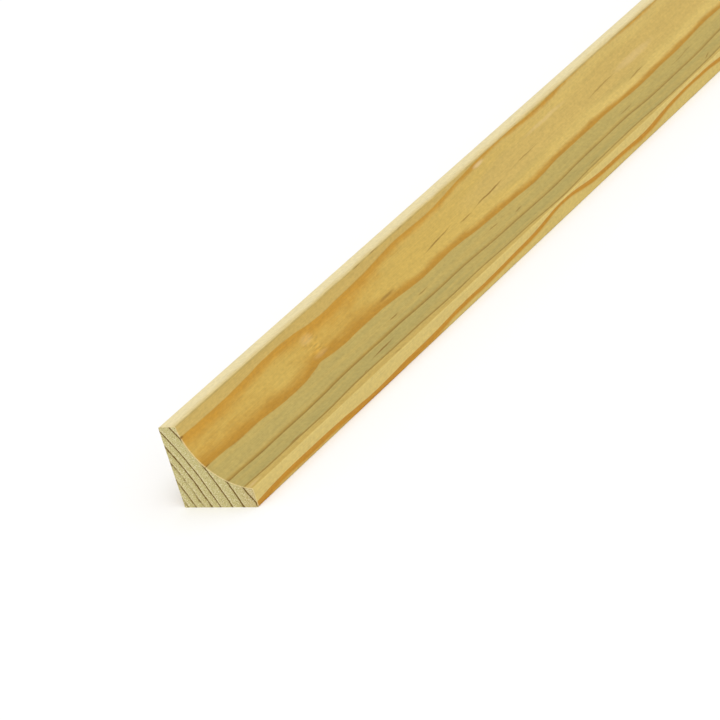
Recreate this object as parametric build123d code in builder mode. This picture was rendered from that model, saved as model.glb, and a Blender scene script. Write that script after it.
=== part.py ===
from build123d import *
import os

# Cove moulding: one strip of planed softwood with two flat faces at right angles,
# a narrow flat land beside each of them, and a hollow cut between the lands.
# The strip lies on one flat face. Its length runs along X, the other flat face
# stands upright at +Y, and the hollow opens to the front and upwards, to -Y and +Z.
# The origin is at the middle of the length and width, on the underside.
# All lengths are in millimetres, with the trade size in feet or inches beside them.

# Driving dimensions
STOCK_LENGTH = 2438.4  # 8 ft, sawn square at both ends
BASE_WIDTH = 17.4625  # 11/16 in, the underside from the back to the front
BACK_HEIGHT = 17.4625  # 11/16 in, the upright back from the underside to the top
TOP_LAND = 3.96875  # 5/32 in, the flat on top from the back to the hollow
FRONT_LAND = 3.96875  # 5/32 in, the flat at the front from the underside to the hollow
COVE_RADIUS = 15.08125  # 19/32 in, the hollow, centred just outside the square of the section
ARRIS_RADIUS = 0.2  # the five long edges are slightly eased; the sawn ends stay crisp

# Corners of the section, as (Y, Z)
back_y = BASE_WIDTH / 2
front_y = -BASE_WIDTH / 2
top_arris = (back_y - TOP_LAND, BACK_HEIGHT)
front_arris = (front_y, FRONT_LAND)

os.makedirs("parts", exist_ok=True)

# The section is drawn across the length and run out both ways from the middle
with BuildPart() as cove_moulding:
    with BuildSketch(Plane.YZ) as section:
        with BuildLine() as outline:
            Polyline(front_arris, (front_y, 0), (back_y, 0), (back_y, BACK_HEIGHT), top_arris)
            RadiusArc(top_arris, front_arris, COVE_RADIUS)
        make_face()
        fillet(section.vertices(), ARRIS_RADIUS)
    extrude(amount=STOCK_LENGTH / 2, both=True)

cove_moulding.part.label = "cove_moulding"
export_step(cove_moulding.part, "parts/cove_moulding.step")
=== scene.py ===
"""Looks for a length of cove moulding in raw planed softwood.

The strip is made as a maker would make it: a square blank is ploughed along its front
corner, its long edges are eased, and its ends are left as the saw left them. Growth rings
round one pith run through the whole strip, so the bands on its long faces meet the lines
on its sawn ends.
"""

import logging
import math
from dataclasses import dataclass
from enum import Enum
from typing import ClassVar

import bpy
import numpy as np
from mathutils import Matrix, Vector


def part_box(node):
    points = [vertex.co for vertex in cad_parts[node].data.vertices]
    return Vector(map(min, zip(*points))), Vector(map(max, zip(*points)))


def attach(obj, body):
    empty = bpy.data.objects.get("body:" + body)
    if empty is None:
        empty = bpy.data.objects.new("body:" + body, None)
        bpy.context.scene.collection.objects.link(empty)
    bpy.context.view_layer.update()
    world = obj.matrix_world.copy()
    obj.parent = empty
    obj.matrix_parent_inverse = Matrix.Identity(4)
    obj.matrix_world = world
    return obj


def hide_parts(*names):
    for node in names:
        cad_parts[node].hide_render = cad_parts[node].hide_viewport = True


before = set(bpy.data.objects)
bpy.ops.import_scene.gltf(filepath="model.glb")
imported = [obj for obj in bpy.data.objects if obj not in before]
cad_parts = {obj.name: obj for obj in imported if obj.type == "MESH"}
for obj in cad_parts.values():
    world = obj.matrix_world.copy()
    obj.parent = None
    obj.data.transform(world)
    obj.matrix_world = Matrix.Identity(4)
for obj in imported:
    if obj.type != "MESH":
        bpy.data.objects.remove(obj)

MM = 0.001
TOUCH = 1e-6  # two places this close, in metres, are one
AT_END = 0.01  # a vertex this close to a sawn end, in millimetres, lies on it
FLAT = 0.9999  # least share of a normal along its axis on a truly flat face
END_ON = 0.99  # the same on a sawn end before it is roughened
MOSTLY_END = 0.8  # the same on a sawn end after it is roughened
NODE = "cove_moulding"
log = logging.getLogger("cove_moulding_scene")


class End(Enum):
    """The two sawn ends, by the side of the origin that each one is on."""

    NEAR = -1
    FAR = 1


class MathOp(Enum):
    """The sums that the finishes use, by the name that a math node gives them."""

    ADD = "ADD"
    SUBTRACT = "SUBTRACT"
    MULTIPLY = "MULTIPLY"
    DIVIDE = "DIVIDE"
    SINE = "SINE"
    MAXIMUM = "MAXIMUM"
    MINIMUM = "MINIMUM"
    GREATER = "GREATER_THAN"
    MULTIPLY_ADD = "MULTIPLY_ADD"
    EXPONENT = "EXPONENT"


class VectorOp(Enum):
    """The vector sums that the finishes use, by the name that a vector math node gives them."""

    ADD = "ADD"
    SUBTRACT = "SUBTRACT"
    MULTIPLY = "MULTIPLY"
    MULTIPLY_ADD = "MULTIPLY_ADD"
    DISTANCE = "DISTANCE"
    LENGTH = "LENGTH"
    DOT = "DOT_PRODUCT"


@dataclass(frozen=True)
class Step:
    """A smooth step between two results.

    Attributes:
        low: Where it starts.
        high: Where it ends.
        first: The result at and before its start.
        last: The result at and after its end.
    """

    low: float
    high: float
    first: float = 0.0
    last: float = 1.0


@dataclass(frozen=True)
class Grain:
    """The size and make of a noise pattern in the wood.

    Attributes:
        along: Its size along the strip, in millimetres.
        across: Its size across it.
        layers: How many finer layers it has.
        rough: How strong the finer layers are.
    """

    along: float
    across: float
    layers: float = 2.0
    rough: float = 0.5


class Graph:
    """A short way to write a node tree."""

    def __init__(self, tree: bpy.types.NodeTree) -> None:
        """Starts on a tree.

        Args:
            tree: The tree that new nodes go into.
        """
        self.tree = tree

    def put(self, socket: bpy.types.NodeSocket, value: object) -> None:
        """Links a socket to another socket, or gives it a plain value.

        Args:
            socket: The input to set.
            value: An output socket, or a number, colour or vector.
        """
        if isinstance(value, bpy.types.NodeSocket):
            self.tree.links.new(value, socket)
        else:
            socket.default_value = value

    def node(self, kind: str, inputs: dict | None = None, **settings: object) -> bpy.types.Node:
        """Adds a node.

        Args:
            kind: Blender's name for the node type.
            inputs: Input names or places, each with its value or the socket it comes from.
            **settings: Properties of the node itself.

        Returns:
            The new node.
        """
        made = self.tree.nodes.new(kind)
        for name, value in settings.items():
            setattr(made, name, value)
        for key, value in (inputs or {}).items():
            self.put(made.inputs[key], value)
        return made

    def sum(self, op: MathOp, *values: object) -> bpy.types.NodeSocket:
        """Adds a math node.

        Args:
            op: What it works out.
            *values: Its inputs in order.

        Returns:
            Its result.
        """
        return self.node("ShaderNodeMath", dict(enumerate(values)), operation=op.value).outputs[0]

    def vector(self, op: VectorOp, *values: object) -> bpy.types.NodeSocket:
        """Adds a vector math node.

        Args:
            op: What it works out.
            *values: Its inputs in order.

        Returns:
            Its result, a number for a distance, a length or a dot product.
        """
        made = self.node("ShaderNodeVectorMath", dict(enumerate(values)), operation=op.value)
        return made.outputs[int(op in (VectorOp.DISTANCE, VectorOp.LENGTH, VectorOp.DOT))]

    def ramp(
        self, value: object, low: object, high: object, to_low: float = 0.0, to_high: float = 1.0
    ) -> bpy.types.NodeSocket:
        """Adds a smooth step from one value to another.

        Args:
            value: What the step follows.
            low: Where it starts.
            high: Where it ends.
            to_low: The result at and before the start.
            to_high: The result at and after the end.

        Returns:
            The stepped value.
        """
        inputs = {0: value, 1: low, 2: high, 3: to_low, 4: to_high}
        made = self.node("ShaderNodeMapRange", inputs, interpolation_type="SMOOTHSTEP")
        return made.outputs[0]

    def step(self, value: object, step: Step) -> bpy.types.NodeSocket:
        """Adds a smooth step whose numbers are set beforehand."""
        return self.ramp(value, step.low, step.high, step.first, step.last)

    def mix(
        self, share: object, first: object, second: object, blend: str = "MIX"
    ) -> bpy.types.NodeSocket:
        """Adds a colour mix.

        Args:
            share: How much of the second colour shows.
            first: The first colour.
            second: The second colour.
            blend: How the second goes over the first.

        Returns:
            The mixed colour.
        """
        made = self.node("ShaderNodeMix", data_type="RGBA", blend_type=blend)
        self.put(made.inputs[0], share)
        self.put(made.inputs[6], first)
        self.put(made.inputs[7], second)
        return made.outputs[2]

    def noise(self, vector: object, layers: float = 2.0, rough: float = 0.5) -> bpy.types.Node:
        """Adds a noise pattern that stays between 0 and 1.

        Args:
            vector: Where the pattern is read.
            layers: How many finer layers it has.
            rough: How strong the finer layers are.

        Returns:
            The noise node.
        """
        inputs = {"Vector": vector, "Scale": 1.0, "Detail": layers, "Roughness": rough}
        return self.node("ShaderNodeTexNoise", inputs, noise_dimensions="3D", normalize=True)

    def grain(self, place: object, grain: Grain) -> bpy.types.Node:
        """Adds a noise pattern of a given size, between 0 and 1.

        Args:
            place: Places in millimetres.
            grain: Its size and make.

        Returns:
            The noise node.
        """
        size = (1 / grain.along, 1 / grain.across, 1 / grain.across)
        return self.noise(self.stretched(place, size), grain.layers, grain.rough)

    def uneven(self, place: object, grain: Grain) -> bpy.types.NodeSocket:
        """Adds a noise pattern of a given size, as values about 0."""
        return self.sum(MathOp.SUBTRACT, self.grain(place, grain).outputs[0], 0.5)

    def stretched(self, vector: object, scale: tuple[float, float, float],
                  place: tuple[float, float, float] = (0.0, 0.0, 0.0),
                  turn: tuple[float, float, float] = (0.0, 0.0, 0.0)) -> bpy.types.NodeSocket:
        """Adds a mapping node.

        Args:
            vector: The coordinates that go in.
            scale: What each is multiplied by.
            place: What is then added.
            turn: Turns about the three axes, in radians.

        Returns:
            The mapped coordinates.
        """
        inputs = {"Vector": vector, "Scale": scale, "Location": place, "Rotation": turn}
        return self.node("ShaderNodeMapping", inputs, vector_type="POINT").outputs[0]


class Effect:
    """A shader node group with named inputs and outputs, built once and used by name."""

    def __init__(self, name: str, inputs: dict[str, object], outputs: dict[str, str]) -> None:
        """Makes the empty group.

        Args:
            name: The group's name.
            inputs: Input names, each with its starting value, or None for a vector.
            outputs: Output names, each with its socket type.
        """
        self.tree = bpy.data.node_groups.new(name, "ShaderNodeTree")
        self.graph = Graph(self.tree)
        for key, value in inputs.items():
            kind = "NodeSocketVector" if value is None else "NodeSocketFloat"
            kind = "NodeSocketColor" if isinstance(value, tuple) else kind
            socket = self.tree.interface.new_socket(key, in_out="INPUT", socket_type=kind)
            if value is not None:
                socket.default_value = value
        for key, kind in outputs.items():
            self.tree.interface.new_socket(key, in_out="OUTPUT", socket_type=kind)
        self.given = self.tree.nodes.new("NodeGroupInput").outputs
        self.results = self.tree.nodes.new("NodeGroupOutput").inputs

    def give(self, **results: object) -> None:
        """Links results to the group's outputs.

        Args:
            **results: Output names, with underscores for spaces, and their sockets.
        """
        for key, value in results.items():
            self.graph.put(self.results[key.replace("_", " ")], value)

    def use(self, graph: Graph, inputs: dict[str, object]) -> bpy.types.Node:
        """Places the group in another tree.

        Args:
            graph: The tree that it goes into.
            inputs: Its input values or links.

        Returns:
            The group node.
        """
        made = graph.node("ShaderNodeGroup", node_tree=self.tree)
        for key, value in inputs.items():
            graph.put(made.inputs[key], value)
        return made


@dataclass(frozen=True)
class Section:
    """The moulding's section, in metres, with its size read from the frame."""

    width: float
    height: float
    top_land: float = 3.96875 * MM
    front_land: float = 3.96875 * MM
    cove_radius: float = 15.08125 * MM
    arris: float = 0.2 * MM

    @property
    def back(self) -> float:
        """Y of the upright back face."""
        return self.width / 2

    @property
    def front(self) -> float:
        """Y of the front land."""
        return -self.width / 2

    @property
    def top_arris(self) -> Vector:
        """Where the top land meets the cove, as (Y, Z)."""
        return Vector((self.back - self.top_land, self.height))

    @property
    def front_arris(self) -> Vector:
        """Where the cove meets the front land, as (Y, Z)."""
        return Vector((self.front, self.front_land))

    @property
    def cove_centre(self) -> Vector:
        """Centre of the cove's arc, outside the strip, as (Y, Z)."""
        chord = self.front_arris - self.top_arris
        middle = (self.front_arris + self.top_arris) / 2
        rise = math.sqrt(self.cove_radius**2 - (chord.length / 2) ** 2)
        outward = Vector((chord.y, -chord.x)).normalized()
        return middle + outward * rise

    def worked_point(self, reach: float) -> tuple[float, float]:
        """A point on the top land, cove or front land.

        Args:
            reach: Distance round them from the back, in millimetres.

        Returns:
            How far it is out from the back face and up from the underside, in millimetres.
        """
        reach *= MM
        centre = self.cove_centre
        start = math.atan2(self.top_arris.y - centre.y, self.top_arris.x - centre.x)
        turn = (self.front_arris - centre).angle(self.top_arris - centre)
        arc = turn * self.cove_radius
        if reach < self.top_land:
            point = Vector((self.back - reach, self.height))
        elif reach < self.top_land + arc:
            angle = start - (reach - self.top_land) / self.cove_radius
            point = centre + Vector((math.cos(angle), math.sin(angle))) * self.cove_radius
        else:
            point = Vector((self.front, self.front_land - (reach - self.top_land - arc)))
        return (self.back - point.x) / MM, point.y / MM

    def arrises(self) -> list[Vector]:
        """The five long edges of the section, as (Y, Z)."""
        square = [Vector((self.back, 0)), Vector((self.back, self.height)), Vector((self.front, 0))]
        return square + [self.top_arris, self.front_arris]


@dataclass(frozen=True)
class GrowthRing:
    """One year's ring of the log.

    Attributes:
        edge: Radius of its outer edge about the pith, in millimetres.
        latewood: How far its dense late wood reaches in from that edge, in millimetres.
        line: How dark the edge shows on the long faces.
        end_line: How dark the edge shows on the sawn ends.
        tone: How yellow its early wood is.
    """

    edge: float
    latewood: float
    line: float
    end_line: float
    tone: float = 0.5


@dataclass(frozen=True)
class Wave:
    """One slow wave in the way of the pith along the strip.

    Attributes:
        length: Its length, in millimetres.
        out: How far it carries the pith out from the back face, in millimetres.
        out_start: Where that motion stands at the near end, in degrees.
        up: How far it carries the pith up, in millimetres.
        up_start: Where that motion stands at the near end, in degrees.
    """

    length: float
    out: float
    out_start: float
    up: float
    up_start: float


@dataclass(frozen=True)
class Bulge:
    """A place where the rings swell out from the pith.

    Attributes:
        along: Its middle along the strip from the near end, in millimetres.
        out: Its middle out from the back face.
        up: Its middle above the underside.
        length: How far it reaches along the strip.
        reach: How far it reaches across.
        rise: How far the rings move out at its middle.
    """

    along: float
    out: float
    up: float
    length: float
    reach: float
    rise: float


@dataclass(frozen=True)
class LogPattern:
    """Where the rings of the log run through the strip.

    Places are in millimetres from the near end's bottom back corner: along the strip, out
    from its back face and up from its underside.

    Attributes:
        pith_out: Where the pith stands at the near end, out from the back face.
        pith_up: Its height there.
        rings: The rings that reach the strip, from the inside out.
        waves: How the pith wanders along the strip.
        bulges: Where the rings swell or sink.
        first_ring: Width of the innermost ring.
        late_scale: No ring has more late wood than this.
        slow_warp: Long unevenness of the rings.
        slow_depth: How far it moves them.
        quick_warp: Short unevenness of the rings.
        quick_depth: How far it moves them.
    """

    pith_out: float = -58.95
    pith_up: float = -24.32
    rings: tuple[GrowthRing, ...] = (
        GrowthRing(57.30, 0.50, 0.5, 0.60, 0.4),
        GrowthRing(59.10, 0.50, 0.5, 0.62, 0.6),
        GrowthRing(60.95, 0.45, 0.5, 0.55, 0.4),
        GrowthRing(62.80, 0.50, 0.6, 0.62, 0.6),
        GrowthRing(64.60, 0.45, 0.5, 0.55, 0.4),
        GrowthRing(66.37, 0.50, 0.6, 0.70, 0.5),
        GrowthRing(68.23, 0.45, 0.6, 0.58, 0.3),
        GrowthRing(70.00, 0.50, 0.5, 0.80, 0.4),
        GrowthRing(71.97, 0.60, 0.7, 0.9, 0.5),
        GrowthRing(74.59, 1.45, 0.05, 1.0, 0.6),
        GrowthRing(77.06, 0.50, 0.62, 1.0, 0.35),
        GrowthRing(79.70, 0.30, 0.50, 0.9, 0.1),
        GrowthRing(84.20, 0.60, 0.6, 0.6, 1.0),
    )
    waves: tuple[Wave, ...] = (
        Wave(277.7, 0.525, 323.6, 1.500, 186.5),
        Wave(88.7, 0.194, 9.6, 0.247, 229.3),
        Wave(54.7, 0.441, 316.7, 0.798, 136.9),
        Wave(48.0, 0.417, 42.2, 1.022, 220.6),
        Wave(24.3, 0.095, 347.6, 0.132, 191.8),
        Wave(1900.0, 0.500, 249.2, 0.350, 249.2),
    )
    bulges: tuple[Bulge, ...] = (
        Bulge(1219.0, 17.46, 0.6, 6000.0, 2.4, 0.74),
        Bulge(126.5, 17.46, 2.6, 10.0, 1.6, 0.64),
        Bulge(190.0, 17.46, 2.4, 18.0, 1.8, 0.45),
        Bulge(43.5, 7.9, 8.9, 3.6, 2.2, -0.10),
        Bulge(52.5, 8.0, 8.7, 4.0, 2.0, 0.08),
        Bulge(86.0, 9.0, 7.8, 8.0, 2.0, 0.07),
        Bulge(43.0, 4.4, 15.6, 4.0, 1.5, 0.06),
    )
    first_ring: float = 1.3
    late_scale: float = 2.0
    slow_warp: Grain = Grain(38.0, 5.0)
    slow_depth: float = 0.38
    quick_warp: Grain = Grain(7.0, 0.9)
    quick_depth: float = 0.11

    @property
    def low(self) -> float:
        """The smallest radius that the pattern covers."""
        return self.rings[0].edge - self.first_ring

    @property
    def high(self) -> float:
        """The largest radius that the pattern covers."""
        return self.rings[-1].edge

    def still(self) -> tuple[float, float]:
        """Where the pith would run without its waves, out from the back face and up."""
        out = self.pith_out - sum(wave.out * math.sin(math.radians(wave.out_start)) for wave in self.waves)
        up = self.pith_up - sum(wave.up * math.sin(math.radians(wave.up_start)) for wave in self.waves)
        return out, up

    def radius(self, along: np.ndarray, out: np.ndarray, up: np.ndarray) -> np.ndarray:
        """The radius about the wandering pith of points in the strip.

        Args:
            along: Distances from the near end.
            out: Distances from the back face.
            up: Heights above the underside.

        Returns:
            Radii in millimetres.
        """
        pith_out, pith_up = self.still()
        for wave in self.waves:
            turn = 2 * math.pi * along / wave.length
            pith_out = pith_out + wave.out * np.sin(turn + math.radians(wave.out_start))
            pith_up = pith_up + wave.up * np.sin(turn + math.radians(wave.up_start))
        radius = np.hypot(out - pith_out, up - pith_up)
        for bulge in self.bulges:
            away = ((along - bulge.along) / bulge.length) ** 2
            away = away + ((out - bulge.out) ** 2 + (up - bulge.up) ** 2) / bulge.reach**2
            radius = radius - bulge.rise * np.exp(-away)
        return radius

    def latewood(self, radius: np.ndarray) -> np.ndarray:
        """How dense the wood is at given radii, from 0 in early wood to 1 at a ring's edge.

        Args:
            radius: Radii in millimetres.

        Returns:
            Densities from 0 to 1.
        """
        edges = np.array([ring.edge for ring in self.rings])
        widths = np.array([ring.latewood for ring in self.rings])
        which = np.clip(np.searchsorted(edges, radius), 0, len(edges) - 1)
        return np.clip(1 - (edges[which] - radius) / widths[which], 0, 1)

    def _bands(self, graph: Graph, radius: object, colours: list[tuple[float, float, float]]) -> list:
        """Adds a stepped ramp over the rings.

        Args:
            graph: The tree that it goes into.
            radius: The radius as a socket.
            colours: Three numbers from 0 to 1 for each ring.

        Returns:
            The three numbers of the ring that the radius lies in, as sockets.
        """
        span = self.high - self.low
        share = graph.sum(MathOp.DIVIDE, graph.sum(MathOp.SUBTRACT, radius, self.low), span)
        ramp = graph.node("ShaderNodeValToRGB", {0: share})
        ramp.color_ramp.interpolation = "CONSTANT"
        starts = [0.0] + [(ring.edge - self.low) / span for ring in self.rings[:-1]]
        stops = ramp.color_ramp.elements
        while len(stops) < len(starts):
            stops.new(1.0)
        for stop, start, colour in zip(stops, starts, colours):
            stop.position = start
            stop.color = (*colour, 1.0)
        return list(graph.node("ShaderNodeSeparateColor", {0: ramp.outputs[0]}).outputs)

    def effect(self) -> Effect:
        """Builds the ring pattern as a node group.

        Returns:
            The group, which takes a place in millimetres and gives how far it is inside its
            ring's outer edge and outside its inner edge, and what its ring is like.
        """
        kinds = {key: "NodeSocketFloat" for key in (
            "To edge", "From edge", "Latewood", "Line", "End line", "Tone")}
        group = Effect("Growth rings", {"Place": None}, kinds)
        g = group.graph
        place = group.given["Place"]
        along, out, up = g.node("ShaderNodeSeparateXYZ", {0: place}).outputs
        pith_out, pith_up = self.still()
        for wave in self.waves:
            turn = 2 * math.pi / wave.length
            swing = g.sum(MathOp.SINE, g.sum(MathOp.MULTIPLY_ADD, along, turn, math.radians(wave.out_start)))
            lift = g.sum(MathOp.SINE, g.sum(MathOp.MULTIPLY_ADD, along, turn, math.radians(wave.up_start)))
            pith_out = g.sum(MathOp.MULTIPLY_ADD, swing, wave.out, pith_out)
            pith_up = g.sum(MathOp.MULTIPLY_ADD, lift, wave.up, pith_up)
        flat = g.node("ShaderNodeCombineXYZ", {1: out, 2: up}).outputs[0]
        pith = g.node("ShaderNodeCombineXYZ", {1: pith_out, 2: pith_up}).outputs[0]
        radius = g.vector(VectorOp.DISTANCE, flat, pith)
        for bulge in self.bulges:
            off = g.vector(VectorOp.SUBTRACT, place, (bulge.along, bulge.out, bulge.up))
            off = g.vector(VectorOp.MULTIPLY, off, (1 / bulge.length, 1 / bulge.reach, 1 / bulge.reach))
            away = g.vector(VectorOp.DOT, off, off)
            swell = g.sum(MathOp.EXPONENT, g.sum(MathOp.MULTIPLY, away, -1.0))
            radius = g.sum(MathOp.MULTIPLY_ADD, swell, -bulge.rise, radius)
        slow = g.sum(MathOp.MULTIPLY, g.uneven(place, self.slow_warp), self.slow_depth)
        quick = g.sum(MathOp.MULTIPLY, g.uneven(place, self.quick_warp), self.quick_depth)
        radius = g.sum(MathOp.ADD, radius, g.sum(MathOp.ADD, slow, quick))
        span = self.high - self.low
        inner = [self.low] + [ring.edge for ring in self.rings[:-1]]
        edges = [((ring.edge - self.low) / span, (start - self.low) / span, ring.tone)
                 for ring, start in zip(self.rings, inner)]
        shades = [(ring.latewood / self.late_scale, ring.line, ring.end_line) for ring in self.rings]
        outer, start, tone = self._bands(g, radius, edges)
        latewood, line, end_line = self._bands(g, radius, shades)
        outer = g.sum(MathOp.MULTIPLY_ADD, outer, span, self.low)
        start = g.sum(MathOp.MULTIPLY_ADD, start, span, self.low)
        group.give(
            To_edge=g.sum(MathOp.MAXIMUM, g.sum(MathOp.SUBTRACT, outer, radius), 0.0),
            From_edge=g.sum(MathOp.MAXIMUM, g.sum(MathOp.SUBTRACT, radius, start), 0.0),
            Latewood=g.sum(MathOp.MULTIPLY, latewood, self.late_scale),
            Line=line,
            End_line=end_line,
            Tone=tone,
        )
        return group


def srgb(red: int, green: int, blue: int) -> tuple[float, float, float, float]:
    """A colour as a shader takes it.

    Args:
        red: Red as it is seen on a screen, from 0 to 255.
        green: Green likewise.
        blue: Blue likewise.

    Returns:
        The colour in linear light, with full alpha.
    """
    shares = [c / 255 for c in (red, green, blue)]
    linear = [c / 12.92 if c <= 0.04045 else ((c + 0.055) / 1.055) ** 2.4 for c in shares]
    return (*linear, 1.0)


@dataclass(frozen=True)
class WoodEffects:
    """The node groups that both wood finishes use."""

    rings: Effect
    fibre: Effect
    canals: Effect
    FINE: ClassVar[Grain] = Grain(9.0, 0.16, 3.0, 0.6)
    BROAD: ClassVar[Grain] = Grain(45.0, 1.3)
    CANAL_SPACING: ClassVar[tuple[float, float]] = (7.0, 0.9)
    CANAL_WOBBLE: ClassVar[Grain] = Grain(3.0, 3.0, 1.0)
    CANAL_BEND: ClassVar[float] = 0.35
    CANAL_LEAST_SIZE: ClassVar[float] = 0.10
    CANAL_MORE_SIZE: ClassVar[float] = 0.16
    CANAL_LEAST_DEPTH: ClassVar[float] = 0.4
    CANAL_MORE_DEPTH: ClassVar[float] = 0.6

    @classmethod
    def build(cls, pattern: LogPattern) -> "WoodEffects":
        """Makes the groups.

        Args:
            pattern: The log that the strip was cut from.

        Returns:
            The effects, ready to use.
        """
        return cls(pattern.effect(), cls._fibre(), cls._canals())

    @staticmethod
    def _fibre() -> Effect:
        """Fine streaks along the grain, as values about 0.5."""
        group = Effect("Fibre", {"Place": None}, {"Fine": "NodeSocketFloat", "Broad": "NodeSocketFloat"})
        place = group.given["Place"]
        fine = group.graph.grain(place, WoodEffects.FINE)
        broad = group.graph.grain(place, WoodEffects.BROAD)
        group.give(Fine=fine.outputs[0], Broad=broad.outputs[0])
        return group

    @staticmethod
    def _canals() -> Effect:
        """Short dark resin canals along the grain, as a mask."""
        group = Effect("Resin canals", {"Place": None, "Share": 0.05}, {"Mask": "NodeSocketFloat"})
        g, kind = group.graph, WoodEffects
        place = group.given["Place"]
        along, across = kind.CANAL_SPACING
        cell = g.stretched(place, (1 / along, 1 / across, 1 / across))
        wobble = g.grain(place, kind.CANAL_WOBBLE).outputs[1]
        shift = g.vector(VectorOp.SUBTRACT, wobble, (0.5, 0.5, 0.5))
        cell = g.vector(VectorOp.ADD, cell, g.vector(VectorOp.MULTIPLY, shift, (kind.CANAL_BEND,) * 3))
        spots = g.node("ShaderNodeTexVoronoi", {"Vector": cell, "Scale": 1.0, "Randomness": 1.0},
                       voronoi_dimensions="3D", feature="F1", distance="EUCLIDEAN")
        picked = g.node("ShaderNodeSeparateColor", {0: spots.outputs["Color"]}).outputs
        chosen = g.sum(MathOp.GREATER, group.given["Share"], picked[0])
        size = g.sum(MathOp.MULTIPLY_ADD, picked[1], kind.CANAL_MORE_SIZE, kind.CANAL_LEAST_SIZE)
        mask = g.ramp(spots.outputs["Distance"], 0.0, size, 1.0, 0.0)
        depth = g.sum(MathOp.MULTIPLY_ADD, picked[2], kind.CANAL_MORE_DEPTH, kind.CANAL_LEAST_DEPTH)
        group.give(Mask=g.sum(MathOp.MULTIPLY, g.sum(MathOp.MULTIPLY, mask, chosen), depth))
        return group


@dataclass(frozen=True)
class WoodFinish:
    """What the two wood finishes share.

    Attributes:
        near_end: X of the near sawn end, in metres.
        length: The strip's length, in metres.
        section: The strip's section.
        effects: The shared node groups.
    """

    near_end: float
    length: float
    section: Section
    effects: WoodEffects

    def place(self, graph: Graph) -> bpy.types.NodeSocket:
        """Object coordinates, turned into millimetres from the near end's bottom back corner."""
        where = graph.node("ShaderNodeTexCoord").outputs["Object"]
        scale = (1 / MM, -1 / MM, 1 / MM)
        return graph.stretched(where, scale, (-self.near_end / MM, self.section.back / MM, 0.0))

    @staticmethod
    def start(name: str) -> tuple[bpy.types.Material, Graph, bpy.types.Node]:
        """Makes a material with one plain shader in it.

        Args:
            name: The material's name.

        Returns:
            The material, its graph and its shader.
        """
        material = bpy.data.materials.new(name)
        material.use_nodes = True
        graph = Graph(material.node_tree)
        shader = next(n for n in material.node_tree.nodes if n.type == "BSDF_PRINCIPLED")
        return material, graph, shader


@dataclass(frozen=True)
class ResinCanal:
    """One dark resin canal that the cutter laid open.

    Attributes:
        along: Distance of its middle from the near end, in millimetres.
        reach: Distance of its middle round the worked faces from the back.
        length: Its length.
        width: Its width.
        slant: How far it climbs towards the back over its length.
        depth: How dark it is, from 0 to 1.
    """

    along: float
    reach: float
    length: float
    width: float = 0.22
    slant: float = 0.0
    depth: float = 0.7


@dataclass(frozen=True)
class Reading:
    """What the layers of the planed finish read of the wood at each place, as sockets.

    Attributes:
        place: The place, in millimetres.
        along: Its distance from the near end.
        out: Its distance from the back face.
        up: Its height above the underside.
        rings: What the growth rings give.
        fibre: What the fibres give.
        blotch: Slow uneven patches, about 0.
        depth: How far it is inside its ring's edge, as a share of the ring's late wood.
        front: 1 on the front land and 0 elsewhere.
    """

    place: bpy.types.NodeSocket
    along: bpy.types.NodeSocket
    out: bpy.types.NodeSocket
    up: bpy.types.NodeSocket
    rings: bpy.types.NodeOutputs
    fibre: bpy.types.NodeOutputs
    blotch: bpy.types.NodeSocket
    depth: bpy.types.NodeSocket
    front: bpy.types.NodeSocket


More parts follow.
